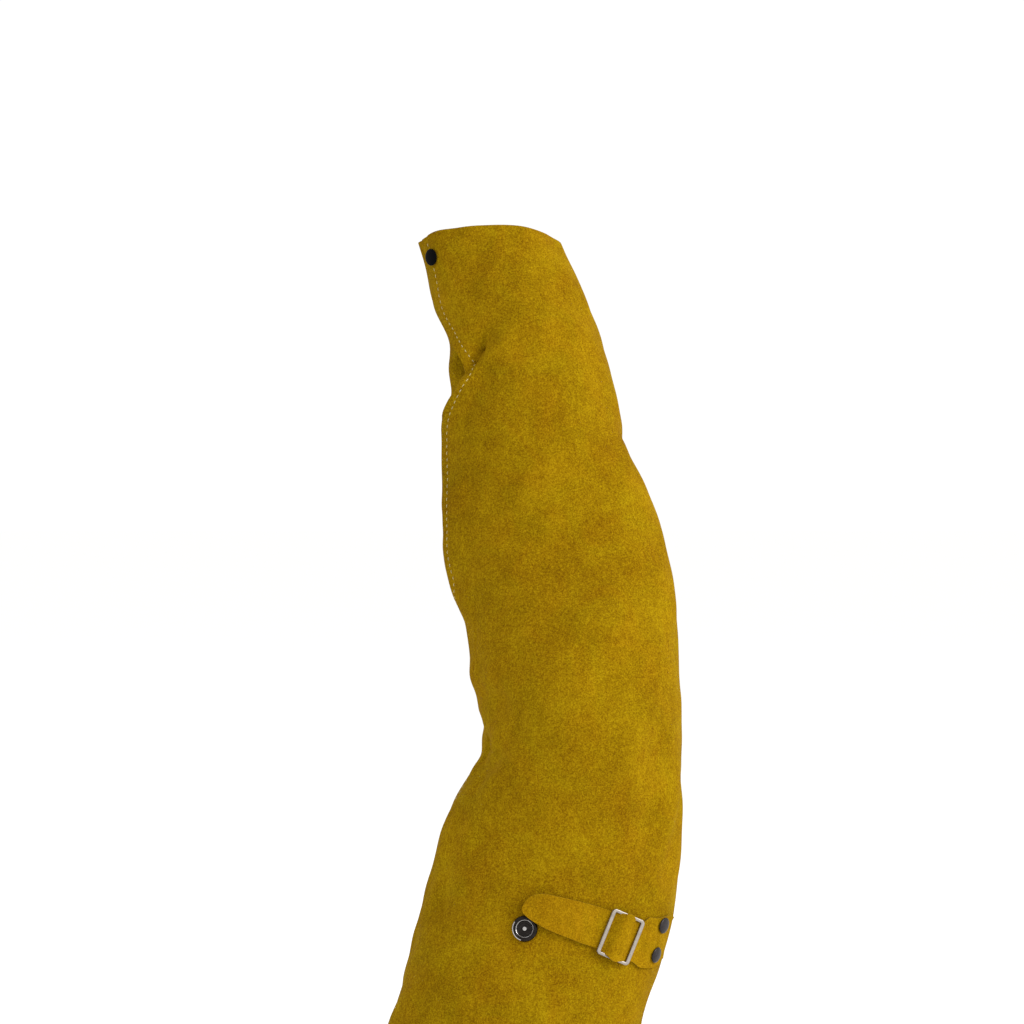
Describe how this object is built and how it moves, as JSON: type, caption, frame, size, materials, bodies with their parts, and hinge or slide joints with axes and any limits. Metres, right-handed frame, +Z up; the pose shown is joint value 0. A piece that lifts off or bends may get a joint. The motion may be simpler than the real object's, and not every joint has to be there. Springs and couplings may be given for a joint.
{
  "type": "welding sleeve",
  "caption": "Suede leather arm sleeve for welding, worn from the upper arm to the wrist, with a lapped side seam, a snapped wrist vent and an upper arm strap with a slide and a ring snap",
  "frame": {"origin": "centre of the upper arm opening, where the sleeve sits on the arm that holds it up", "axes": "+Z up along the raised arm to the wrist, +X to the right of the front view, towards the riveted end of the strap, +Y to the back; the front of the sleeve, with the strap and ring snap, faces -Y"},
  "size_m": [0.2072, 0.1683, 0.6097],
  "materials": {
    "sleeve_leather": "mustard split suede with a short nap",
    "strap_leather": "mustard split suede, a little brighter",
    "slide_plate": "dull nickel plate",
    "dark_metal": "dark gunmetal",
    "snap_metal": "blackened nickel plate",
    "black_cap": "black enamel",
    "stitch_thread": "pale twisted thread"
  },
  "bodies": {
    "root": {"sleeve_panel": "sleeve_leather", "upper_arm_strap": "strap_leather", "slide_buckle": "slide_plate", "strap_rivet_upper": "dark_metal", "strap_rivet_lower": "dark_metal", "arm_snap": "snap_metal", "wrist_snap_cap": "black_cap", "wrist_snap_stud": "snap_metal"}
  },
  "joints": []
}
